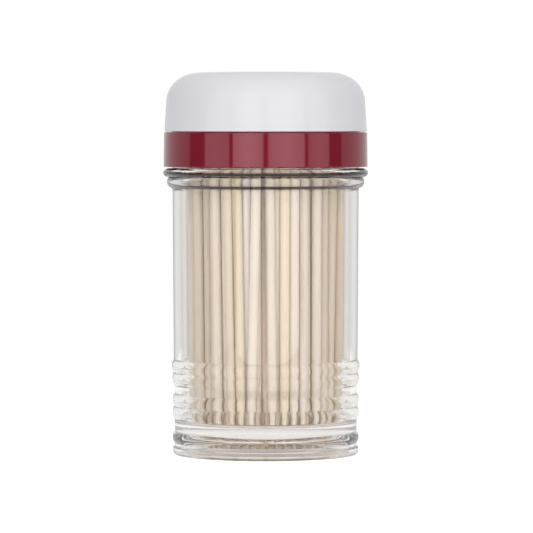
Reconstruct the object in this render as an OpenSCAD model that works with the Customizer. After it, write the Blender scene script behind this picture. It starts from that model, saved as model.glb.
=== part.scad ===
// Toothpick dispenser: a clear ribbed jar of loose toothpicks, a red closure that snaps
// over the jar's neck, and a white cap that turns on the closure's inner dome. Turning the
// cap brings its port over the closure's wide port, the small one, or neither. It is drawn
// over the wide port. A quarter turn brings it to the small one, and half a turn closes it.
// Lengths are in millimetres, +Z is up, and the jar's foot stands on Z = 0.

/* [Jar body] */
// Outer radius of the body where it meets the collar
body_top_r = 21.6; // [21:0.1:23]
// How much smaller the body's radius is at the table
body_taper = 0.4; // [0:0.1:0.8]
// Height of the body, from the table to the collar
body_h = 61.4; // [58:0.2:68]
// Thickness of the jar's side wall
jar_wall = 1.6; // [1.2:0.1:2]
// Height of the floor's upper face above the table
floor_z = 7.4; // [6.5:0.1:9]
// Thickness of the floor
floor_t = 3; // [1.6:0.1:3.2]
// Radius where the wall meets the floor, above and below
floor_round = 1.2; // [0.6:0.1:1.4]
// Rise of the recess under the floor from its edge to its middle
recess_crown = 0.2; // [0:0.1:0.6]

/* [Foot flange] */
// How far the flange stands out from the body
foot_stand = 0.45; // [0.2:0.05:0.8]
// Height of the flange
foot_h = 2; // [1.6:0.1:2.4]
// Radius of the flange's lower edge
foot_round = 1.1; // [0.6:0.1:1.2]

/* [Grip ribs] */
// How far each rib stands out from the body
rib_h = 0.48; // [0.2:0.02:0.6]
// Width of a rib at the body
rib_w = 3.1; // [2.8:0.1:3.4]
// Distance between the two ribs of a band
rib_pitch = 2.8; // [2.4:0.1:3]
// Height of the upper band's middle
upper_band_z = 19.1; // [18:0.1:24]
// Height of the lower band's middle
lower_band_z = 11.3; // [10:0.1:12]
// Height of the single rib's middle
low_rib_z = 4.1; // [3.9:0.1:4.8]
// Width of the single rib at the body
low_rib_w = 2.6; // [1.6:0.1:2.8]

/* [Collar beads] */
// How far the groove between the beads stands out from the body
collar_stand = 0.8; // [0.5:0.05:1.1]
// Height of the cone that leads from the body to the lower bead
collar_cone_h = 1; // [0.6:0.1:1.6]
// How far the lower bead stands out from the groove
lower_bead_stand = 0.5; // [0.3:0.05:0.8]
// Height of the lower bead
lower_bead_h = 2.1; // [1.6:0.1:2.6]
// How far the upper bead stands out from the groove
upper_bead_stand = 1.4; // [1:0.05:1.6]
// Height of the upper bead
upper_bead_h = 2.1; // [1.6:0.1:2.6]

/* [Neck] */
// Thickness of the neck's wall
neck_wall = 1.6; // [1.4:0.1:1.9]
// Height of the neck, from the collar to the rim
neck_h = 4.9; // [4.6:0.1:5.6]
// How far the snap bead stands out from the neck
neck_snap_stand = 0.3; // [0.2:0.05:0.4]
// Height of the snap bead's middle above the collar
neck_snap_z = 2.6; // [2.4:0.1:2.8]
// Height of the snap bead
neck_snap_h = 1.1; // [0.8:0.1:1.4]
// Radius of the rim's two edges
rim_round = 0.35; // [0.2:0.05:0.5]

/* [Closure] */
// Clearance all round between the neck and the skirt
skirt_clear = 0.15; // [0.1:0.05:0.25]
// Thickness of the skirt at its top
skirt_wall = 1.8; // [1.6:0.05:2]
// How much wider the skirt is at its lower edge, on the radius
skirt_taper = 0.1; // [0:0.05:0.2]
// Gap between the collar and the skirt's lower edge
skirt_gap = 0.3; // [0.2:0.05:0.6]
// Gap between the jar's rim and the face that rests on it
seat_gap = 0.05; // [0.02:0.01:0.1]
// Height from that face up to the ledge under the cap
ledge_h = 3.4; // [2.8:0.1:4]
// Radius of the ledge's outer edge
ledge_round = 0.25; // [0.1:0.05:0.4]
// Wall thickness of the inner dome
dome_wall = 1.2; // [1:0.1:1.4]
// Clearance of the toothpick that passes the small port
small_port_clear = 1.2; // [0.8:0.1:1.8]

/* [Cap] */
// How far the cap's rim stands back from the ledge's edge
cap_setback = 0.1; // [0:0.05:0.3]
// How much smaller the cap's radius is at the shoulder
cap_taper = 0.4; // [0.2:0.05:0.7]
// Height of the cap over all
cap_h = 13.85; // [13:0.1:16]
// Width of the rounded shoulder
shoulder_w = 7.7; // [6.5:0.1:8]
// Height of the rounded shoulder
shoulder_h = 6.65; // [5.5:0.1:7]
// Rise of the top from the shoulder to its middle
crown_h = 0.2; // [0.1:0.05:0.5]
// Thickness of the cap
cap_wall = 1.4; // [1.2:0.1:1.6]
// Radius of the rim's outer edge
cap_edge_round = 0.3; // [0.1:0.05:0.4]
// Gap under the rim, over the ledge
cap_gap = 0.15; // [0.1:0.05:0.3]
// Clearance between the cap and the inner dome
nest_gap = 0.3; // [0.2:0.05:0.4]
// Height of the cap's snap ridge above its rim
cap_snap_z = 1.6; // [1.3:0.1:2.2]
// Width of the snap ridge at its root
cap_snap_w = 1; // [0.8:0.1:1.2]
// How far the snap ridge stands in from the cap's wall
cap_snap_in = 0.5; // [0.45:0.05:0.6]
// Running clearance of the snap ridge in its groove
snap_play = 0.1; // [0.05:0.01:0.15]
// Radius of the port in the cap and of the wide port under it
port_r = 3.5; // [2.6:0.1:3.8]
// Distance of the ports from the turning axis
port_ring_r = 10.8; // [10:0.1:11.5]
// Bevel round the cap's port
port_bevel = 0.4; // [0.2:0.05:0.6]

/* [Toothpicks] */
// Diameter of a toothpick
pick_d = 2.2; // [2:0.05:2.4]
// Length of a toothpick
pick_len = 65; // [60:0.5:68]
// Length of each pointed end
pick_point = 6; // [4:0.5:9]
// Radius of the blunt tips
pick_tip_r = 0.15; // [0.1:0.05:0.3]
// Least space between neighbouring toothpicks
pick_gap = 0.08; // [0.05:0.01:0.15]
// Space left between the toothpicks and the jar's wall
pick_slack = 1.25; // [0.8:0.05:2]
// Space between the tips and the floor
pick_lift = 0.1; // [0.05:0.05:0.3]
// Lean of the outermost ring of toothpicks, in degrees
pick_lean = 0.8; // [0:0.1:1]

/* [Hidden] */
// Steps of the quarter and half rounds in the profiles
round_steps = 8;
// Sides of the ports and toothpicks, where these are shown as facets
port_fn = 64;
pick_fn = 24;
// Sides of the turned parts
turn_fn = 128;
// How far a cutting solid runs past the faces that it cuts
cut_past = 1;

function body_r(z) = body_top_r - body_taper * (1 - z / body_h);
function bore_r(z) = body_r(z) - jar_wall;

collar_r = body_top_r + collar_stand;
lower_bead_z = body_h + collar_cone_h + lower_bead_h / 2;
upper_bead_z = lower_bead_z + (lower_bead_h + upper_bead_h) / 2;
collar_z = upper_bead_z + upper_bead_h / 2;
neck_r = bore_r(body_h) + neck_wall;
rim_z = collar_z + neck_h;

skirt_bore_r = neck_r + skirt_clear;
skirt_top_r = skirt_bore_r + skirt_wall;
skirt_z = collar_z + skirt_gap;
seat_z = rim_z + seat_gap;
ledge_z = seat_z + ledge_h;

cap_rim_r = skirt_top_r - cap_setback;
cap_rim_z = ledge_z + cap_gap;
cap_top_z = cap_rim_z + cap_h;
shoulder_z = cap_top_z - crown_h - shoulder_h;
shoulder_r = cap_rim_r - cap_taper - shoulder_w;
snap_z = cap_rim_z + cap_snap_z;
dome_inset = cap_wall + nest_gap;

ring_r = bore_r(floor_z) - pick_slack - pick_d / 2;
ring_pitch = pick_d + pick_gap;
ring_count = floor((ring_r - ring_pitch / 2) / ring_pitch) + 1;

// Points of an arc of an ellipse about [cx, cy], with half axes a and b
function arc(cx, cy, a, b, from, to) =
    [for (i = [0:round_steps])
        let (t = from + (to - from) * i / round_steps) [cx + a * cos(t), cy + b * sin(t)]];

function reversed(list) = [for (i = [len(list) - 1:-1:0]) list[i]];

// How far a rib about the height middle stands out from the body at z
function rib_bulge(z, middle, width) =
    let (half = width / 2, bend_r = (half * half + rib_h * rib_h) / (2 * rib_h), off = z - middle)
    abs(off) < half ? sqrt(bend_r * bend_r - off * off) - (bend_r - rib_h) : 0;

function ribbed_r(z) = body_r(z) + max(
    rib_bulge(z, low_rib_z, low_rib_w),
    rib_bulge(z, lower_band_z - rib_pitch / 2, rib_w),
    rib_bulge(z, lower_band_z + rib_pitch / 2, rib_w),
    rib_bulge(z, upper_band_z - rib_pitch / 2, rib_w),
    rib_bulge(z, upper_band_z + rib_pitch / 2, rib_w));

// Points up one side of the body, over a rib or a pair of ribs
function rib_outline(low, middle, high) =
    [for (i = [0:round_steps]) let (z = low + (middle - low) * i / round_steps) [ribbed_r(z), z],
     for (i = [1:round_steps]) let (z = middle + (high - middle) * i / round_steps) [ribbed_r(z), z]];

function band_outline(z) =
    rib_outline(z - (rib_pitch + rib_w) / 2, z, z + (rib_pitch + rib_w) / 2);

// A ridge or groove on a wall at radius r: depth is along the radius, and less than 0 inwards
function snap_outline(r, z, depth, root, tip) =
    [[r, z - root], [r + depth, z - tip], [r + depth, z + tip], [r, z + root]];

module turned(points) {
    rotate_extrude($fn = turn_fn) polygon(points);
}

// Jar

function jar_outside() = concat(
    arc(body_r(0) + foot_stand - foot_round, foot_round, foot_round, foot_round, -90, 0),
    [[body_r(foot_h) + foot_stand, foot_h - foot_stand / 2], [body_r(foot_h), foot_h]],
    rib_outline(low_rib_z - low_rib_w / 2, low_rib_z, low_rib_z + low_rib_w / 2),
    band_outline(lower_band_z),
    band_outline(upper_band_z),
    [[body_top_r, body_h]],
    arc(collar_r, lower_bead_z, lower_bead_stand, lower_bead_h / 2, -60, 90),
    arc(collar_r, upper_bead_z, upper_bead_stand, upper_bead_h / 2, -90, 90),
    [[neck_r, collar_z]],
    arc(neck_r, collar_z + neck_snap_z, neck_snap_stand, neck_snap_h / 2, -90, 90),
    arc(neck_r - rim_round, rim_z - rim_round, rim_round, rim_round, 0, 90));

function jar_inside() =
    let (bore_top_r = bore_r(body_h), recess_z = floor_z - floor_t, recess_r = bore_r(0) - floor_round)
    concat(
        arc(bore_top_r + rim_round, rim_z - rim_round, rim_round, rim_round, 90, 180),
        [[bore_top_r, body_h]],
        arc(bore_r(floor_z) - floor_round, floor_z + floor_round, floor_round, floor_round, 0, -90),
        [[0, floor_z], [0, recess_z + recess_crown], [recess_r / 2, recess_z + recess_crown * 3 / 4]],
        arc(recess_r, recess_z - floor_round, floor_round, floor_round, 90, 0),
        [[bore_r(0), 0]]);

module jar() {
    color([0.93, 0.93, 0.92, 0.45]) turned(concat(jar_outside(), jar_inside()));
}

// Cap and inner dome: one outline, set in from the cap's outer face

function cap_side_r(z, inset) =
    cap_rim_r - inset - cap_taper * (z - cap_rim_z) / (shoulder_z - cap_rim_z);

function dome_outline(inset) = concat(
    arc(shoulder_r, shoulder_z, shoulder_w - inset, shoulder_h - inset, 0, 90),
    [[shoulder_r / 2, cap_top_z - crown_h / 4 - inset], [0, cap_top_z - inset]]);

module port(angle, r) {
    rotate(angle) translate([0, port_ring_r, shoulder_z])
        cylinder(r = r, h = shoulder_h + crown_h + cut_past, $fn = port_fn);
}

module cap() {
    edge = cap_edge_round;
    ridge = snap_outline(cap_side_r(snap_z, cap_wall), snap_z, -cap_snap_in, cap_snap_w / 2, cap_snap_w / 8);
    color([0.93, 0.93, 0.95]) difference() {
        turned(concat(
            arc(cap_rim_r - edge, cap_rim_z + edge, edge, edge, -90, 0),
            dome_outline(0),
            reversed(dome_outline(cap_wall)),
            reversed(ridge),
            [[cap_side_r(cap_rim_z, cap_wall), cap_rim_z]]));
        port(0, port_r);
        translate([0, port_ring_r, cap_top_z - crown_h - port_bevel])
            cylinder(h = port_bevel + cut_past, r1 = port_r, r2 = port_r + port_bevel + cut_past,
                $fn = port_fn);
    }
}

// Closure: skirt, seat on the jar's rim, ledge under the cap, and inner dome with two ports

function closure_outside() =
    let (groove_depth = cap_snap_in - nest_gap + snap_play,
         groove_root = cap_snap_w / 2 + snap_play - 3 / 4 * (cap_snap_w / 2) * nest_gap / cap_snap_in,
         groove_tip = cap_snap_w / 8 + snap_play)
    concat(
        [[skirt_top_r + skirt_taper, skirt_z]],
        arc(skirt_top_r - ledge_round, ledge_z - ledge_round, ledge_round, ledge_round, 0, 90),
        [[cap_side_r(ledge_z, dome_inset), ledge_z]],
        snap_outline(cap_side_r(snap_z, dome_inset), snap_z, -groove_depth, groove_root, groove_tip),
        dome_outline(dome_inset));

function closure_inside() =
    let (inset = dome_inset + dome_wall,
         relief = neck_snap_stand + skirt_clear,
         relief_z = collar_z + neck_snap_z,
         relief_tip = neck_snap_h / 2,
         lead_in = skirt_clear * 2)
    concat(
        reversed(dome_outline(inset)),
        [[cap_side_r(seat_z, inset), seat_z], [skirt_bore_r, seat_z]],
        reversed(snap_outline(skirt_bore_r, relief_z, neck_snap_stand, relief_tip + relief, relief_tip)),
        [[skirt_bore_r, skirt_z + lead_in], [skirt_bore_r + lead_in, skirt_z]]);

module closure() {
    color([0.55, 0.1, 0.16]) difference() {
        turned(concat(closure_outside(), closure_inside()));
        port(0, port_r);
        port(90, (pick_d + small_port_clear) / 2);
    }
}

// Toothpicks, standing in rings that lean like the strands of a rope

module toothpick() {
    rotate_extrude($fn = pick_fn) polygon([
        [0, 0], [pick_tip_r, 0], [pick_d / 2, pick_point],
        [pick_d / 2, pick_len - pick_point], [pick_tip_r, pick_len], [0, pick_len]]);
}

module toothpick_ring(k) {
    r = ring_r - (k - 1) * ring_pitch;
    count = floor(180 / asin(ring_pitch / (2 * r)));
    lean = pick_lean * r / ring_r * (k % 2 == 0 ? 1 : -1);
    color([0.86, 0.78, 0.66])
        for (i = [0:count - 1])
            rotate(360 * i / count + 180 * k / count)
                translate([r, 0, floor_z + pick_lift + pick_len / 2])
                    rotate([lean, 0, 0]) translate([0, 0, -pick_len / 2]) toothpick();
}

jar();
closure();
cap();
for (k = [1:ring_count]) toothpick_ring(k);
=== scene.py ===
# Toothpick dispenser: clear ribbed jar, red push-on closure, white cap that turns, loose toothpicks
import bpy
import math
import numpy as np
from mathutils import Matrix, Vector


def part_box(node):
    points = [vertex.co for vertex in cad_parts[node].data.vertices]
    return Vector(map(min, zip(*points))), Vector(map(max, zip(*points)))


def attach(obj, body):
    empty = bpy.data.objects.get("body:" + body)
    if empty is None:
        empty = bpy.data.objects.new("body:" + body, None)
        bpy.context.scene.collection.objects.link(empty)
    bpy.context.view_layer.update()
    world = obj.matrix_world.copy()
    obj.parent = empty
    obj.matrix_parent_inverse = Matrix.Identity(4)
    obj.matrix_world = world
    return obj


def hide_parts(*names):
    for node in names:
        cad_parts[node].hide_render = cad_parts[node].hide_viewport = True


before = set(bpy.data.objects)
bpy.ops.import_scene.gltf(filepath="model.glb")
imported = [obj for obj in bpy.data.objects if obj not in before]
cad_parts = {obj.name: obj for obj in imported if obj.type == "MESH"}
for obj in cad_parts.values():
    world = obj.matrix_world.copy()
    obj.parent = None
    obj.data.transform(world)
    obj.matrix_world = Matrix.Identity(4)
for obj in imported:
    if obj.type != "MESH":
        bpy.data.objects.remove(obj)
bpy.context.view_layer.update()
scene = bpy.context.scene
mm = 0.001
print("frame loaded")


# Helpers for node trees

def addNode(tree, kind, **settings):
    made = tree.nodes.new(kind)
    for name, value in settings.items():
        setattr(made, name, value)
    return made


def feed(tree, made, **values):
    # An input takes a number or colour, or is linked when it is given another node's output
    for name, value in values.items():
        key = int(name[1:]) if name[0] == "n" and name[1:].isdigit() else name.replace("_", " ")
        if isinstance(value, bpy.types.NodeSocket):
            tree.links.new(value, made.inputs[key])
        else:
            made.inputs[key].default_value = value
    return made


def mathNode(tree, operation, first, second=0.0):
    made = addNode(tree, "ShaderNodeMath", operation=operation)
    return feed(tree, made, n0=first, n1=second).outputs[0]


def mixColours(tree, share, first, second):
    made = addNode(tree, "ShaderNodeMix", data_type="RGBA")
    feed(tree, made, n0=share, n6=first, n7=second)
    return made.outputs[2]


# Camera, at the photograph's angle

cameraPlace = {
    "distance": 0.95,  # from the jar's axis
    "height": 0.079,  # above the table
    "aimSide": 0.0002,  # the photograph's frame is not quite centred on the jar
    "aimHeight": 0.0437,
    "frameWidth": 0.12395,  # what the frame spans at the jar's axis
    "sensor": 36.0,
    "clipStart": 0.01,
}


def placeCamera(place):
    bpy.ops.object.camera_add(location=(0, -place["distance"], place["height"]))
    camera = bpy.context.object
    aim = Vector((place["aimSide"], 0, place["aimHeight"])) - camera.location
    camera.rotation_euler = aim.to_track_quat("-Z", "Y").to_euler()
    camera.data.sensor_width = place["sensor"]
    camera.data.lens = place["sensor"] * aim.length / place["frameWidth"]
    camera.data.clip_start = place["clipStart"]
    scene.camera = camera


placeCamera(cameraPlace)


# Studio: pale floor, and softboxes painted round the sky by their angle from the camera's side

studio = {
    "floorSize": 0.6,
    "floorColour": (0.80, 0.80, 0.80, 1),
    "floorRoughness": 0.9,
    "floorShine": 0.1,
    "floorGlow": 0.45,  # only in the camera's own sight, so that the floor meets the sky unseen
    "floorLight": 0.16,  # light of the table itself, which lifts the jar's base
    "brightest": 2.5,  # the ramp round the sky holds shares of this
    "softboxes": [  # from and to in degrees to the right of the camera, brightness at ends and middle
        (-72.5, -42, 1.2, 1.35), (-37, -3.2, 1.8, 2.5), (3.2, 44.5, 1.7, 2.3), (49.5, 76, 1.1, 1.4),
    ],
    "between": 0.08,  # brightness of the dark strips beside the softboxes
    "edge": 0.8,  # degrees over which a softbox ends
    "backdrop": [(94.5, 0.08), (96.5, 0.56), (156, 0.8), (167, 0.8)],  # degrees to either side, brightness
    "behind": 0.8,
    "rimDark": 0.62,  # how much darker the backdrop is in the low strip that outlines the clear jar
    "rimFrom": 166.0,  # degrees to either side where that strip begins
    "rimFull": 170.0,
    "rimTop": 2.0,  # degrees above the horizon
    "softboxTop": 42.0,  # degrees above the horizon
    "softboxFade": 6.0,
    "overhead": 1.0,
}


def paintSky(studio):
    world = bpy.data.worlds.new("studioSky")
    scene.world = world
    world.use_nodes = True
    tree = world.node_tree
    tree.nodes.clear()
    direction = addNode(tree, "ShaderNodeTexCoord").outputs["Generated"]
    axes = feed(tree, addNode(tree, "ShaderNodeSeparateXYZ"), Vector=direction)
    towardsCamera = mathNode(tree, "MULTIPLY", axes.outputs["Y"], -1.0)
    azimuth = mathNode(tree, "ARCTAN2", axes.outputs["X"], towardsCamera)
    elevation = mathNode(tree, "ARCSINE", axes.outputs["Z"])
    turn = addNode(tree, "ShaderNodeMapRange")
    feed(tree, turn, Value=azimuth, From_Min=-math.pi, From_Max=math.pi)

    stops = []
    for start, end, level, middle in studio["softboxes"]:
        stops += [(start - studio["edge"], studio["between"]), (start, level), ((start + end) / 2, middle)]
        stops += [(end, level), (end + studio["edge"], studio["between"])]
    stops += [(angle, level) for angle, level in studio["backdrop"]]
    stops += [(-angle, level) for angle, level in studio["backdrop"]]
    ramp = addNode(tree, "ShaderNodeValToRGB")
    feed(tree, ramp, Fac=turn.outputs["Result"])
    elements = ramp.color_ramp.elements
    for made in elements:
        made.color = [studio["behind"] / studio["brightest"]] * 3 + [1]
    for angle, level in stops:
        made = elements.new((angle + 180) / 360)
        made.color = [level / studio["brightest"]] * 3 + [1]

    aside = addNode(tree, "ShaderNodeMapRange")
    feed(tree, aside, Value=mathNode(tree, "ABSOLUTE", azimuth), From_Min=math.radians(studio["rimFrom"]),
         From_Max=math.radians(studio["rimFull"]), To_Max=studio["rimDark"])
    level = addNode(tree, "ShaderNodeMapRange")
    feed(tree, level, Value=elevation, From_Min=math.radians(studio["rimTop"]), From_Max=0.0)
    rim = mathNode(tree, "MULTIPLY", aside.outputs["Result"], level.outputs["Result"])
    outlined = mathNode(tree, "MULTIPLY", ramp.outputs["Color"], mathNode(tree, "SUBTRACT", 1.0, rim))

    low = addNode(tree, "ShaderNodeMapRange", interpolation_type="SMOOTHSTEP")
    top = math.radians(studio["softboxTop"])
    feed(tree, low, Value=elevation, From_Min=top + math.radians(studio["softboxFade"]), From_Max=top)
    ring = mathNode(tree, "MULTIPLY", outlined, studio["brightest"])
    ringLow = mathNode(tree, "MULTIPLY", ring, low.outputs["Result"])
    high = mathNode(tree, "SUBTRACT", 1.0, low.outputs["Result"])
    above = mathNode(tree, "MULTIPLY", high, studio["overhead"])
    light = mathNode(tree, "ADD", ringLow, above)

    seen = addNode(tree, "ShaderNodeLightPath").outputs["Is Camera Ray"]
    lit = feed(tree, addNode(tree, "ShaderNodeBackground"), Color=(1, 1, 1, 1), Strength=light)
    white = feed(tree, addNode(tree, "ShaderNodeBackground"), Color=(1, 1, 1, 1), Strength=1.0)
    both = addNode(tree, "ShaderNodeMixShader")
    feed(tree, both, n0=seen, n1=lit.outputs[0], n2=white.outputs[0])
    feed(tree, addNode(tree, "ShaderNodeOutputWorld"), Surface=both.outputs[0])


def layFloor(studio):
    bpy.ops.object.select_all(action="DESELECT")
    bpy.ops.mesh.primitive_plane_add(size=studio["floorSize"])
    floor = bpy.context.object
    floor.name = "floor"
    material = bpy.data.materials.new("paleFloor")
    material.use_nodes = True
    shader = material.node_tree.nodes["Principled BSDF"]
    seen = addNode(material.node_tree, "ShaderNodeLightPath").outputs["Is Camera Ray"]
    glow = mathNode(material.node_tree, "MULTIPLY", seen, studio["floorGlow"])
    glow = mathNode(material.node_tree, "ADD", glow, studio["floorLight"])
    feed(material.node_tree, shader, Emission_Color=(1, 1, 1, 1), Emission_Strength=glow,
         Base_Color=studio["floorColour"], Roughness=studio["floorRoughness"],
         Specular_IOR_Level=studio["floorShine"])
    floor.data.materials.append(material)


paintSky(studio)
layFloor(studio)
scene.view_settings.view_transform = "Standard"
scene.view_settings.look = "None"
scene.cycles.use_denoising = True
scene.cycles.max_bounces = 32
scene.cycles.transmission_bounces = 28
scene.cycles.glossy_bounces = 12
scene.cycles.diffuse_bounces = 12
scene.cycles.blur_glossy = 0.0  # the light through the jar stays as sharp as outside it
print("camera and studio placed")


# Materials

def newGroup(name, inputs, outputs):
    group = bpy.data.node_groups.new(name, "ShaderNodeTree")
    for socketName, value in inputs.items():
        kind = "NodeSocketColor" if isinstance(value, tuple) else "NodeSocketFloat"
        made = group.interface.new_socket(socketName, in_out="INPUT", socket_type=kind)
        made.default_value = value
    for socketName, kind in outputs.items():
        group.interface.new_socket(socketName, in_out="OUTPUT", socket_type=kind)
    return group, addNode(group, "NodeGroupInput").outputs, addNode(group, "NodeGroupOutput")


scuffs = {"from": 0.45, "full": 0.75, "height": 0.06}  # noise levels where scuffs start and are full


def buildMouldedSkin():
    # The skin of a moulded plastic: faint flow ripples, fine grain and handling scuffs
    inputs = {"Roughness": 0.1, "Roughness Spread": 0.05, "Ripple Scale": 60.0, "Scuff Scale": 900.0}
    outputs = {"Roughness": "NodeSocketFloat", "Height": "NodeSocketFloat"}
    group, given, out = newGroup("mouldedSkin", inputs, outputs)
    place = addNode(group, "ShaderNodeTexCoord").outputs["Object"]
    ripple = addNode(group, "ShaderNodeTexNoise")
    feed(group, ripple, Vector=place, Scale=given["Ripple Scale"], Detail=2.0)
    scuff = addNode(group, "ShaderNodeTexNoise")
    feed(group, scuff, Vector=place, Scale=given["Scuff Scale"], Detail=4.0, Roughness=0.7)
    scuffMask = addNode(group, "ShaderNodeMapRange")
    feed(group, scuffMask, Value=scuff.outputs["Fac"], From_Min=scuffs["from"], From_Max=scuffs["full"])
    spread = mathNode(group, "MULTIPLY", scuffMask.outputs["Result"], given["Roughness Spread"])
    feed(group, out, Roughness=mathNode(group, "ADD", given["Roughness"], spread))
    fine = mathNode(group, "MULTIPLY", scuff.outputs["Fac"], scuffs["height"])
    feed(group, out, Height=mathNode(group, "ADD", ripple.outputs["Fac"], fine))
    return group


grooveCore = 0.45  # share of a painted shade ring's half width that is dark throughout


def buildPaintedGrooveShade():
    # Painted shade: dark rings in the clear plastic's colour where the undersides of the collar's beads turn
    # the sight up into the shaded closure
    inputs = {"Lower Height": 62.3 * mm, "Upper Height": 65.35 * mm, "Half Width": 0.53 * mm,
              "Least Radius": 20.6 * mm}
    group, given, out = newGroup("paintedGrooveShade", inputs, {"Mask": "NodeSocketFloat"})
    place = addNode(group, "ShaderNodeTexCoord").outputs["Object"]
    axes = feed(group, addNode(group, "ShaderNodeSeparateXYZ"), Vector=place)
    across = feed(group, addNode(group, "ShaderNodeCombineXYZ"), X=axes.outputs["X"], Y=axes.outputs["Y"])
    radius = feed(group, addNode(group, "ShaderNodeVectorMath", operation="LENGTH"), n0=across.outputs[0])
    bands = []
    for height in ("Lower Height", "Upper Height"):
        away = mathNode(group, "ABSOLUTE", mathNode(group, "SUBTRACT", axes.outputs["Z"], given[height]))
        band = addNode(group, "ShaderNodeMapRange", interpolation_type="SMOOTHSTEP")
        core = mathNode(group, "MULTIPLY", given["Half Width"], grooveCore)
        feed(group, band, Value=away, From_Min=given["Half Width"], From_Max=core)
        bands.append(band.outputs["Result"])
    outside = mathNode(group, "GREATER_THAN", radius.outputs["Value"], given["Least Radius"])
    both = mathNode(group, "MAXIMUM", bands[0], bands[1])
    feed(group, out, Mask=mathNode(group, "MULTIPLY", both, outside))
    return group


mouldedSkin = buildMouldedSkin()
paintedGrooveShade = buildPaintedGrooveShade()

plastics = {
    "clearPlastic": {
        "colour": (0.985, 0.96, 0.935, 1), "transmission": 1.0,
        "ior": 1.57, "roughness": 0.0, "spread": 0.015, "rippleScale": 45.0, "bump": 0.012,
        # colour of the painted shade rings on the collar
        "paintedGrooveColour": (0.014, 0.005, 0.003, 1),
    },
    "redPlastic": {
        "colour": (0.15, 0.0065, 0.016, 1), "second": (0.168, 0.008, 0.0195, 1), "flowScale": 55.0,
        "transmission": 0.0,
        "ior": 1.5, "roughness": 0.05, "spread": 0.05, "rippleScale": 70.0, "bump": 0.02,
        "shine": 0.8, "shineTint": (1.0, 0.62, 0.68, 1),
    },
    "whitePlastic": {
        "colour": (0.585, 0.583, 0.613, 1), "second": (0.615, 0.613, 0.643, 1), "flowScale": 55.0,
        "transmission": 0.0,
        "ior": 1.5, "roughness": 0.12, "spread": 0.06, "rippleScale": 50.0, "bump": 0.02, "shine": 0.3,
    },
}


def makePlastic(name, finish):
    material = bpy.data.materials.new(name)
    material.use_nodes = True
    tree = material.node_tree
    shader = tree.nodes["Principled BSDF"]
    skin = addNode(tree, "ShaderNodeGroup", node_tree=mouldedSkin)
    feed(tree, skin, Roughness=finish["roughness"], Roughness_Spread=finish["spread"],
         Ripple_Scale=finish["rippleScale"])
    bump = addNode(tree, "ShaderNodeBump")
    feed(tree, bump, Height=skin.outputs["Height"], Strength=finish["bump"], Distance=mm)
    feed(tree, shader, Roughness=skin.outputs["Roughness"], Normal=bump.outputs["Normal"],
         IOR=finish["ior"], Transmission_Weight=finish["transmission"],
         Specular_IOR_Level=finish.get("shine", 0.5), Specular_Tint=finish.get("shineTint", (1, 1, 1, 1)))
    # Painted shade: two dark rings on the collar darken the clear plastic's colour
    if "paintedGrooveColour" in finish:
        shade = addNode(tree, "ShaderNodeGroup", node_tree=paintedGrooveShade)
        grooveShaded = mixColours(tree, shade.outputs["Mask"], finish["colour"], finish["paintedGrooveColour"])
        feed(tree, shader, Base_Color=grooveShaded)
    else:
        place = addNode(tree, "ShaderNodeTexCoord").outputs["Object"]
        flow = addNode(tree, "ShaderNodeTexNoise")
        feed(tree, flow, Vector=place, Scale=finish["flowScale"], Detail=3.0)
        mottled = mixColours(tree, flow.outputs["Fac"], finish["colour"], finish["second"])
        feed(tree, shader, Base_Color=mottled)
    return material


materials = {name: makePlastic(name, finish) for name, finish in plastics.items()}

wood = {
    "tones": [  # place on the ramp and colour, from the palest stick to the darkest
        (0.0, (0.7, 0.655, 0.615, 1)), (0.45, (0.685, 0.615, 0.515, 1)), (0.75, (0.66, 0.575, 0.39, 1)),
        (1.0, (0.57, 0.46, 0.25, 1)),
    ],
    "streak": (0.52, 0.41, 0.29, 1),
    "streakAmount": 0.3,
    "streakFrom": 0.45,  # noise levels where a streak starts and is full
    "streakFull": 0.8,
    "shade": (0.6, 0.32, 0.06, 1),  # colour of the painted shade in the crevices between the sticks
    "across": 1600.0,  # fineness of the grain
    "along": 55.0,
    "grainShift": 3.7,  # moves the grain from one stick's tone to the next
    "roughness": 0.55,
    "bump": 0.25,
    "bumpHeight": 0.1,  # in mm
}


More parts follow.
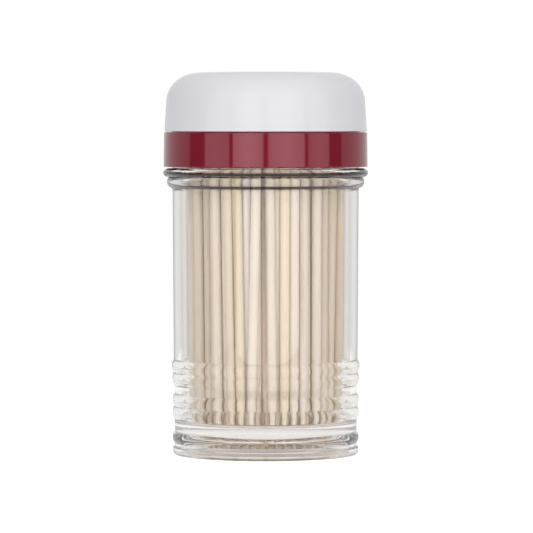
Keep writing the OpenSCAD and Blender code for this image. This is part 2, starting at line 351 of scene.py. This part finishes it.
def makeWood(wood):
    material = bpy.data.materials.new("birchWood")
    material.use_nodes = True
    tree = material.node_tree
    shader = tree.nodes["Principled BSDF"]
    tone = addNode(tree, "ShaderNodeAttribute", attribute_name="tone").outputs["Fac"]
    place = addNode(tree, "ShaderNodeTexCoord").outputs["Object"]
    upwards = mathNode(tree, "MULTIPLY", tone, wood["grainShift"])
    shift = feed(tree, addNode(tree, "ShaderNodeCombineXYZ"), Z=upwards)
    moved = addNode(tree, "ShaderNodeVectorMath", operation="ADD")
    feed(tree, moved, n0=place, n1=shift.outputs[0])
    stretched = addNode(tree, "ShaderNodeMapping")
    feed(tree, stretched, Vector=moved.outputs[0], Scale=(wood["across"], wood["across"], wood["along"]))
    grain = addNode(tree, "ShaderNodeTexNoise")
    feed(tree, grain, Vector=stretched.outputs[0], Scale=1.0, Detail=3.0)
    ramp = addNode(tree, "ShaderNodeValToRGB")
    feed(tree, ramp, Fac=tone)
    elements = ramp.color_ramp.elements
    for position, colour in wood["tones"][1:-1]:
        elements.new(position).color = colour
    elements[0].color = wood["tones"][0][1]
    elements[len(elements) - 1].color = wood["tones"][-1][1]
    streaks = addNode(tree, "ShaderNodeMapRange")
    feed(tree, streaks, Value=grain.outputs["Fac"], From_Min=wood["streakFrom"], From_Max=wood["streakFull"],
         To_Max=wood["streakAmount"])
    bare = mixColours(tree, streaks.outputs["Result"], ramp.outputs["Color"], wood["streak"])
    # Painted shade: the wood's colour is darkened between the sticks, deeper in the bundle and at the inner
    # sticks' ends
    shaded = addNode(tree, "ShaderNodeMix", data_type="RGBA", blend_type="MULTIPLY")
    paintedShade = addNode(tree, "ShaderNodeAttribute", attribute_name="paintedShade").outputs["Fac"]
    colour = feed(tree, shaded, n0=paintedShade, n6=bare, n7=wood["shade"]).outputs[2]
    bump = addNode(tree, "ShaderNodeBump")
    feed(tree, bump, Height=grain.outputs["Fac"], Strength=wood["bump"],
         Distance=wood["bumpHeight"] * mm)
    feed(tree, shader, Base_Color=colour, Roughness=wood["roughness"], Normal=bump.outputs["Normal"])
    return material


materials["birchWood"] = makeWood(wood)
print("materials made")


# Turned mouldings: each outline is a list of radius and height in mm, from the axis and back to it

def arc(centreR, centreZ, halfR, halfZ, start, end, steps=10):
    points = []
    for i in range(steps + 1):
        angle = math.radians(start + (end - start) * i / steps)
        points.append((centreR + halfR * math.cos(angle), centreZ + halfZ * math.sin(angle)))
    return points


def corner(before, at, after, radius, steps=5):
    # A rounded corner at one point of an outline, between its two straight sides
    a = (Vector(before) - Vector(at)).normalized()
    b = (Vector(after) - Vector(at)).normalized()
    half = a.angle(b) / 2
    reach = radius / math.tan(half)
    centre = Vector(at) + (a + b).normalized() * radius / math.sin(half)
    start = Vector(at) + a * reach - centre
    end = Vector(at) + b * reach - centre
    turn = start.angle_signed(end)
    return [tuple(centre + Matrix.Rotation(-turn * i / steps, 2) @ start) for i in range(steps + 1)]


def held(outline, reach=0.08, longFrom=0.48):
    # Extra points close to both ends of each long straight stretch keep its shading flat
    points = []
    for at, after in zip(outline, outline[1:]):
        points.append(at)
        run = Vector(after) - Vector(at)
        if run.length > longFrom:
            inwards = run.normalized() * reach
            points += [tuple(Vector(at) + inwards), tuple(Vector(after) - inwards)]
    return points + [outline[-1]]


def turnPiece(name, outline, sides, weld=0.002):
    # A small plane is merged to one vertex, walked along the outline and spun about the axis
    outline = held(outline)
    bpy.ops.object.select_all(action="DESELECT")
    bpy.ops.mesh.primitive_plane_add(size=mm)
    piece = bpy.context.object
    piece.name = name
    bpy.ops.object.mode_set(mode="EDIT")
    bpy.ops.mesh.select_mode(type="VERT")
    bpy.ops.mesh.select_all(action="SELECT")
    bpy.ops.mesh.merge(type="CENTER")
    bpy.ops.transform.translate(value=(outline[0][0] * mm, 0, outline[0][1] * mm))
    for (r, z), (nextR, nextZ) in zip(outline, outline[1:]):
        step = ((nextR - r) * mm, 0, (nextZ - z) * mm)
        bpy.ops.mesh.extrude_region_move(TRANSFORM_OT_translate={"value": step})
    bpy.ops.mesh.select_all(action="SELECT")
    bpy.ops.mesh.spin(steps=sides, angle=math.tau, center=(0, 0, 0), axis=(0, 0, 1))
    bpy.ops.mesh.select_all(action="SELECT")
    bpy.ops.mesh.remove_doubles(threshold=weld * mm)
    bpy.ops.mesh.normals_make_consistent(inside=False)
    bpy.ops.object.mode_set(mode="OBJECT")
    return piece


def cutWith(piece, cutter):
    modifier = piece.modifiers.new("cut", "BOOLEAN")
    modifier.operation = "DIFFERENCE"
    modifier.solver = "EXACT"
    modifier.object = cutter
    bpy.ops.object.select_all(action="DESELECT")
    bpy.context.view_layer.objects.active = piece
    piece.select_set(True)
    bpy.ops.object.modifier_apply(modifier=modifier.name)
    bpy.data.objects.remove(cutter)


def cutPort(piece, size, angle, radius, low, high):
    # angle turns the port from +Y, as the CAD does
    turn = math.radians(angle)
    ringR = size["portRing"] * mm
    place = (-math.sin(turn) * ringR, math.cos(turn) * ringR, (low + high) / 2 * mm)
    bpy.ops.mesh.primitive_cylinder_add(
        vertices=size["portSides"], radius=radius * mm, depth=(high - low) * mm, location=place)
    cutWith(piece, bpy.context.object)


def finish(piece, material, angle):
    bpy.ops.object.select_all(action="DESELECT")
    bpy.context.view_layer.objects.active = piece
    piece.select_set(True)
    bpy.ops.object.transform_apply(location=True, rotation=True, scale=True)
    bpy.ops.object.shade_smooth_by_angle(angle=math.radians(angle))
    piece.data.materials.clear()
    piece.data.materials.append(materials[material])


# Jar

jarSize = {
    "bodyTopR": 21.6, "bodyTaper": 0.4, "wall": 1.6, "floorZ": 7.4, "floorThickness": 3.0,
    "floorRound": 1.2, "recessCrown": 0.2, "footStand": 0.45, "footHeight": 2.0, "footRound": 1.1,
    "ribHeight": 0.48, "ribWidth": 3.1, "ribPitch": 2.8, "upperBandZ": 19.1, "lowerBandZ": 11.3,
    "lowRibZ": 4.1, "lowRibWidth": 2.6, "ribSteps": 29,
    "ribRound": 0.08, "roundFrom": 14,  # corners that turn by more degrees than this are rounded
    "collarStand": 0.8, "coneHeight": 1.0,
    "lowerBeadStand": 0.5, "lowerBeadHeight": 2.1, "lowerBeadUnder": 1.4,
    "upperBeadStand": 1.4, "upperBeadHeight": 2.1, "beadTurn": 84,  # degrees from middle to groove
    "neckWall": 1.6, "neckHeight": 4.9, "snapStand": 0.3, "snapZ": 2.6, "snapHeight": 1.1, "rimRound": 0.35,
    "footBevel": 0.15,
    "plainFrom": 4.0, "plainSteps": 8,  # how far from a band or the floor the plain wall's points start
    "sides": 192, "smoothAngle": 60,
}
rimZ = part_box("jar")[1].z / mm
collarZ = rimZ - jarSize["neckHeight"]
bodyHeight = collarZ - jarSize["upperBeadHeight"] - jarSize["lowerBeadHeight"] - jarSize["coneHeight"]


def bodyR(z):
    return jarSize["bodyTopR"] - jarSize["bodyTaper"] * (1 - z / bodyHeight)


def ribbedR(z):
    bulge = 0
    pitch = jarSize["ribPitch"] / 2
    ribs = [(jarSize["lowRibZ"], jarSize["lowRibWidth"])]
    for band in (jarSize["lowerBandZ"], jarSize["upperBandZ"]):
        ribs += [(band - pitch, jarSize["ribWidth"]), (band + pitch, jarSize["ribWidth"])]
    for middle, width in ribs:
        half = width / 2
        bend = (half ** 2 + jarSize["ribHeight"] ** 2) / (2 * jarSize["ribHeight"])
        if abs(z - middle) < half:
            bulge = max(bulge, math.sqrt(bend ** 2 - (z - middle) ** 2) - bend + jarSize["ribHeight"])
    return bodyR(z) + bulge


def softened(outline, turnLimit, radius, mostShare=0.45):
    # Rounds each corner that turns by more than turnLimit degrees, using up to mostShare of its shorter side
    points = [outline[0]]
    for before, at, after in zip(outline, outline[1:], outline[2:]):
        turn = (Vector(at) - Vector(before)).angle(Vector(after) - Vector(at))
        shorter = min((Vector(at) - Vector(before)).length, (Vector(after) - Vector(at)).length)
        room = shorter * mostShare
        if math.degrees(turn) > turnLimit:
            points += corner(before, at, after, min(radius, room / math.tan(turn / 2)))
        else:
            points.append(at)
    return points + [outline[-1]]


def jarOutline(size):
    collarR = size["bodyTopR"] + size["collarStand"]
    lowerBeadZ = bodyHeight + size["coneHeight"] + size["lowerBeadHeight"] / 2
    upperBeadZ = collarZ - size["upperBeadHeight"] / 2
    neckR = size["bodyTopR"] - size["wall"] + size["neckWall"]
    boreTopR = size["bodyTopR"] - size["wall"]
    footR = bodyR(0) + size["footStand"]
    footRound, floorRound, rimRound, beadTurn = (
        size[name] for name in ("footRound", "floorRound", "rimRound", "beadTurn"))
    points = arc(footR - footRound, footRound, footRound, footRound, -90, 0)
    points += [(footR, size["footHeight"] - size["footStand"] / 2)]
    points += [(bodyR(size["footHeight"]), size["footHeight"])]
    bandHalf = (size["ribPitch"] + size["ribWidth"]) / 2
    for middle, half in ((size["lowRibZ"], size["lowRibWidth"] / 2), (size["lowerBandZ"], bandHalf),
                         (size["upperBandZ"], bandHalf)):
        points += [(ribbedR(z), z) for z in np.linspace(middle - half, middle + half, size["ribSteps"])]
    plainZ = size["upperBandZ"] + bandHalf + size["plainFrom"]
    points += [(bodyR(z), z) for z in np.linspace(plainZ, bodyHeight, size["plainSteps"])]
    underside = size["collarStand"] + size["lowerBeadStand"]
    points += arc(size["bodyTopR"], lowerBeadZ, underside, size["lowerBeadUnder"], -beadTurn, 0)[:-1]
    points += arc(collarR, lowerBeadZ, size["lowerBeadStand"], size["lowerBeadHeight"] / 2, 0, beadTurn)
    points += arc(collarR, upperBeadZ, size["upperBeadStand"], size["upperBeadHeight"] / 2, -beadTurn, 90)
    points += [(neckR, collarZ)]
    points += arc(neckR, collarZ + size["snapZ"], size["snapStand"], size["snapHeight"] / 2, -90, 90)
    points += arc(neckR - rimRound, rimZ - rimRound, rimRound, rimRound, 0, 90)
    points = softened(points, size["roundFrom"], size["ribRound"])
    inside = arc(boreTopR + rimRound, rimZ - rimRound, rimRound, rimRound, 90, 180)
    lowestZ = size["floorZ"] + size["plainFrom"]
    inside += [(bodyR(z) - size["wall"], z) for z in np.linspace(bodyHeight, lowestZ, size["plainSteps"])]
    floorR = bodyR(size["floorZ"]) - size["wall"] - floorRound
    inside += arc(floorR, size["floorZ"] + floorRound, floorRound, floorRound, 0, -90)
    inside += [(floorR * share, size["floorZ"]) for share in (0.75, 0.5, 0.25, 0)]
    recessZ = size["floorZ"] - size["floorThickness"]
    recessR = bodyR(0) - size["wall"] - floorRound
    under = [(recessR * share, recessZ + size["recessCrown"] * (1 - share ** 2))
             for share in (0, 0.25, 0.5, 0.75)]
    under += arc(recessR, recessZ - floorRound, floorRound, floorRound, 90, 0)
    footInnerR = bodyR(0) - size["wall"]
    under += [(footInnerR, size["footBevel"]), (footInnerR + size["footBevel"], 0)]
    return under + points + inside


jar = turnPiece("clearJar", jarOutline(jarSize), jarSize["sides"])
finish(jar, "clearPlastic", jarSize["smoothAngle"])
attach(jar, "jar")
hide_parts("jar")
print("jar turned")


# Closure and cap

lidSize = {
    "skirtWall": 1.8, "skirtTaper": 0.1, "skirtGap": 0.3, "skirtLip": 0.25, "seatGap": 0.05,
    "ledgeRound": 0.25, "boreBevel": 0.3, "domeWall": 1.2,
    "capSetback": 0.1, "capTaper": 0.4, "capGap": 0.15, "capWall": 1.4, "capEdge": 0.3, "nestGap": 0.3,
    "shoulderWidth": 7.7, "shoulderHeight": 6.65, "crown": 0.2,
    "capSnapZ": 1.6, "capSnapIn": 0.5, "snapPlay": 0.1,
    "ridgeHalf": (0.5, 0.125),  # half heights at the root and the tip: the cap's ridge,
    "grooveHalf": (0.37, 0.22),  # its groove in the dome,
    "reliefHalf": (1.0, 0.55),  # and the skirt's groove for the neck's bead
    "smallPort": 1.7, "widePort": 3.5, "portRing": 10.8, "portBevel": 0.4, "portSides": 64,
    "sides": 192, "smoothAngle": 30,
}
capBottom, capTop = (corner.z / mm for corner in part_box("cap"))
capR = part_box("cap")[1].x / mm
ledgeZ = capBottom - lidSize["capGap"]
shoulderZ = capTop - lidSize["crown"] - lidSize["shoulderHeight"]


def capSideR(z, inset):
    return capR - inset - lidSize["capTaper"] * (z - capBottom) / (shoulderZ - capBottom)


def domeOutline(inset):
    # Shoulder and crown of the cap, or of the dome nested inset mm under it, up to the axis
    shoulderR = capR - lidSize["capTaper"] - lidSize["shoulderWidth"]
    points = arc(shoulderR, shoulderZ, lidSize["shoulderWidth"] - inset, lidSize["shoulderHeight"] - inset,
                 0, 90, 24)
    for share in (0.8, 0.6, 0.4, 0.2, 0):
        points.append((shoulderR * share, capTop - inset - lidSize["crown"] * share ** 2))
    return points


def snapOutline(r, z, depth, root, tip):
    return [(r, z - root), (r + depth, z - tip), (r + depth, z + tip), (r, z + root)]


def makeCap(size):
    snapZ = capBottom + size["capSnapZ"]
    edge = size["capEdge"]
    outside = arc(capR - edge, capBottom + edge, edge, edge, -90, 0, 6)
    outside += [(capSideR(z, 0), z) for z in np.linspace(capBottom + 1, shoulderZ - 0.5, 5)]
    outside += domeOutline(0)
    inside = domeOutline(size["capWall"])[::-1]
    innerR = capSideR(snapZ, size["capWall"])
    inside += snapOutline(innerR, snapZ, -size["capSnapIn"], *size["ridgeHalf"])[::-1]
    inside += [(capSideR(capBottom, size["capWall"]), capBottom)]
    # The outline starts and ends on the axis, so the rim's points come in the middle
    outline = outside[::-1] + inside[::-1]
    cap = turnPiece("whiteCap", outline, size["sides"])
    cutPort(cap, size, 0, size["widePort"], shoulderZ, capTop + 1)
    bevelZ = capTop - size["crown"] - size["portBevel"]
    depth = size["portBevel"] + 1
    bpy.ops.mesh.primitive_cone_add(
        vertices=size["portSides"], radius1=size["widePort"] * mm, radius2=(size["widePort"] + depth) * mm,
        depth=depth * mm, location=(0, size["portRing"] * mm, (bevelZ + depth / 2) * mm))
    cutWith(cap, bpy.context.object)
    finish(cap, "whitePlastic", size["smoothAngle"])
    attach(cap, "cap")
    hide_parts("cap")


def makeClosure(size):
    skirtTopR = capR + size["capSetback"]
    skirtZ = collarZ + size["skirtGap"]
    seatZ = rimZ + size["seatGap"]
    boreR = skirtTopR - size["skirtWall"]
    domeInset = size["capWall"] + size["nestGap"]
    innerInset = domeInset + size["domeWall"]
    snapZ = capBottom + size["capSnapZ"]
    grooveDepth = size["capSnapIn"] - size["nestGap"] + size["snapPlay"]
    lip, ledge = size["skirtLip"], size["ledgeRound"]
    lipR = skirtTopR + size["skirtTaper"] - lip
    outside = [(lipR, skirtZ)]
    outside += arc(lipR, skirtZ + lip, lip, lip, -80, 0, 5)
    outside += arc(skirtTopR - ledge, ledgeZ - ledge, ledge, ledge, 0, 90, 6)
    outside += [(capSideR(ledgeZ, domeInset), ledgeZ)]
    outside += snapOutline(capSideR(snapZ, domeInset), snapZ, -grooveDepth, *size["grooveHalf"])
    outside += domeOutline(domeInset)
    inside = domeOutline(innerInset)[::-1]
    inside += [(capSideR(seatZ, innerInset), seatZ), (boreR, seatZ)]
    reliefZ = collarZ + jarSize["snapZ"]
    inside += snapOutline(boreR, reliefZ, jarSize["snapStand"], *size["reliefHalf"])[::-1]
    inside += [(boreR, skirtZ + size["boreBevel"]), (boreR + size["boreBevel"], skirtZ)]
    outline = outside[::-1] + inside[::-1]
    closure = turnPiece("redClosure", outline, size["sides"])
    cutPort(closure, size, 90, size["smallPort"], shoulderZ, capTop)
    cutPort(closure, size, 0, size["widePort"], shoulderZ, capTop)
    finish(closure, "redPlastic", size["smoothAngle"])
    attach(closure, "closure")
    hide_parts("closure")


makeCap(lidSize)
makeClosure(lidSize)
print("closure and cap turned")


# Toothpicks: each ring of the CAD, shaken out of line and settled until they hardly overlap

pickSize = {
    "diameter": 2.2, "length": 65.0, "sides": 12, "lift": 0.1, "gap": 0.08, "slack": 1.25,
    "point": [(3.2, 0.68), (2.8, 0.14)],  # steps of the pointed end: length in mm, share of the radius
    "footRoom": 16.6, "headRoom": 17.4,  # how far out the two ends of a settled stick's axis may stand
    "innerStep": 0.8,  # how far the inner rings stay behind the outermost
    "setBack": 14, "setBackStep": 1.3,  # sticks of the outermost ring that stand behind it
    "shake": 0.65, "lean": 1.1, "seed": 41,
    "heights": (0.0, 0.33, 0.67, 1.0), "spare": 0.02, "push": 0.4, "rounds": 400,  # how they are settled
    "toneSpread": (1.6, 2.6),  # most sticks are pale and a few are dark
    "creviceReach": 0.22, "creviceShade": 0.4,  # painted shade: how close the next stick darkens this one, and how much
    "frontR": 17.6, "deepR": 12.0, "deepShade": 0.12,  # painted shade, darker from the front of the bundle inwards
    "innerR": 16.4, "pointShade": 0.35, "pointFrom": 0.41, "pointFade": 0.03,  # painted shade on the dark ends of the inner sticks
    "smoothAngle": 50,
}


def settleSticks(size):
    # Feet and heads start on the CAD's rings; pairs that overlap are pushed apart at a few heights
    chance = np.random.default_rng(size["seed"])
    pitch = size["diameter"] + size["gap"]
    outerR = bodyR(jarSize["floorZ"]) - jarSize["wall"] - size["slack"] - size["diameter"] / 2
    places, rings = [], []
    ring = 1
    while outerR - (ring - 1) * pitch >= pitch / 2:
        r = outerR - (ring - 1) * pitch
        count = int(180 / math.degrees(math.asin(pitch / (2 * r))))
        for i in range(count):
            turn = math.tau * i / count + math.pi * ring / count
            places.append((r * math.cos(turn), r * math.sin(turn)))
            rings.append(ring)
        ring += 1
    rings = np.array(rings)
    stepIn = np.where(rings == 1, 0.0, size["innerStep"])
    stepIn[chance.choice(np.flatnonzero(rings == 1), size["setBack"], replace=False)] = size["setBackStep"]
    feet = np.array(places) + chance.normal(0, size["shake"], (len(places), 2))
    heads = feet + chance.normal(0, size["lean"], (len(places), 2))
    farFromItself = np.eye(len(places)) * 99
    for _ in range(size["rounds"]):
        for share in size["heights"]:
            at = feet * (1 - share) + heads * share
            apart = at[:, None] - at[None]
            distance = np.linalg.norm(apart, axis=2) + farFromItself
            overlap = np.clip(size["diameter"] + size["spare"] - distance, 0, None)
            push = (apart / distance[..., None] * overlap[..., None]).sum(1) * size["push"]
            r = np.linalg.norm(at, axis=1)
            room = size["footRoom"] * (1 - share) + size["headRoom"] * share - stepIn
            push -= at / r[:, None] * np.clip(r - room, 0, None)[:, None]
            feet += push * (1 - share)
            heads += push * share
    return feet, heads, rings, chance


def shadeCrevices(stick, feet, heads, own, size):
    # Painted shade: each point's closeness to the next stick, its depth in the bundle and the ends go into
    # one attribute that darkens the wood's colour
    points = np.array([list(stick.matrix_world @ v.co) for v in stick.data.vertices]) / mm
    share = ((points[:, 2] - jarSize["floorZ"]) / size["length"])[:, None, None]
    others = np.arange(len(feet)) != own
    axes = feet[others] * (1 - share) + heads[others] * share
    gap = np.linalg.norm(points[:, None, :2] - axes, axis=2).min(1) - size["diameter"] / 2
    close = np.clip(1 - gap / size["creviceReach"], 0, 1) * size["creviceShade"]
    r = np.linalg.norm(points[:, :2], axis=1)
    deep = np.clip((size["frontR"] - r) / (size["frontR"] - size["deepR"]), 0, 1) * size["deepShade"]
    axisR = np.linalg.norm((feet[own] * (1 - share[:, 0]) + heads[own] * share[:, 0]), axis=1)
    pointed = np.clip((np.abs(share[:, 0, 0] - 0.5) - size["pointFrom"]) / size["pointFade"], 0, 1)
    inner = np.clip(size["innerR"] - axisR, 0, 1) * pointed * size["pointShade"]
    paintedShade = stick.data.attributes.new("paintedShade", "FLOAT", "POINT")
    paintedShade.data.foreach_set("value", np.maximum(np.maximum(close, deep), inner).astype(np.float32))


def makeStick(size):
    # One toothpick about the origin: a cylinder whose two ends are drawn out to points
    shaft = size["length"] - 2 * sum(length for length, share in size["point"])
    bpy.ops.object.select_all(action="DESELECT")
    bpy.ops.mesh.primitive_cylinder_add(
        vertices=size["sides"], radius=size["diameter"] / 2 * mm, depth=shaft * mm, end_fill_type="NGON")
    stick = bpy.context.object
    stick.name = "toothpick"
    for side in (1, -1):
        bpy.ops.object.mode_set(mode="EDIT")
        bpy.ops.mesh.select_all(action="DESELECT")
        bpy.ops.object.mode_set(mode="OBJECT")
        for face in stick.data.polygons:
            face.select = face.normal.z * side > 0.9
        bpy.ops.object.mode_set(mode="EDIT")
        bpy.ops.mesh.select_mode(type="FACE")
        before = 1.0
        for length, share in size["point"]:
            bpy.ops.mesh.extrude_region_move(TRANSFORM_OT_translate={"value": (0, 0, side * length * mm)})
            bpy.ops.transform.resize(value=(share / before, share / before, 1))
            before = share
        bpy.ops.object.mode_set(mode="OBJECT")
    return stick


def standSticks(size):
    feet, heads, rings, chance = settleSticks(size)
    master = makeStick(size)
    lowZ = jarSize["floorZ"] + size["lift"]
    for ring in sorted(set(rings)):
        sticks = []
        for i in [i for i, r in enumerate(rings) if r == ring]:
            stick = master.copy()
            stick.data = master.data.copy()
            scene.collection.objects.link(stick)
            run = Vector((heads[i][0] - feet[i][0], heads[i][1] - feet[i][1], size["length"])) * mm
            turn = run.to_track_quat("Z", "Y").to_matrix().to_4x4()
            spin = Matrix.Rotation(chance.uniform(0, math.tau), 4, "Z")
            middle = Vector((feet[i][0] * mm, feet[i][1] * mm, lowZ * mm)) + run / 2
            stick.matrix_world = Matrix.Translation(middle) @ turn @ spin
            tone = stick.data.attributes.new("tone", "FLOAT", "POINT")
            shade = float(chance.beta(*size["toneSpread"]))
            tone.data.foreach_set("value", [shade] * len(stick.data.vertices))
            shadeCrevices(stick, feet, heads, i, size)
            sticks.append(stick)
        bpy.ops.object.select_all(action="DESELECT")
        for stick in sticks:
            stick.select_set(True)
        bpy.context.view_layer.objects.active = sticks[0]
        bpy.ops.object.join()
        bundle = bpy.context.object
        bundle.name = f"toothpicks{ring}"
        finish(bundle, "birchWood", size["smoothAngle"])
        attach(bundle, "toothpicks")
        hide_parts(f"toothpick_ring_{ring}")
    bpy.data.objects.remove(master)


standSticks(pickSize)
print("toothpicks settled")
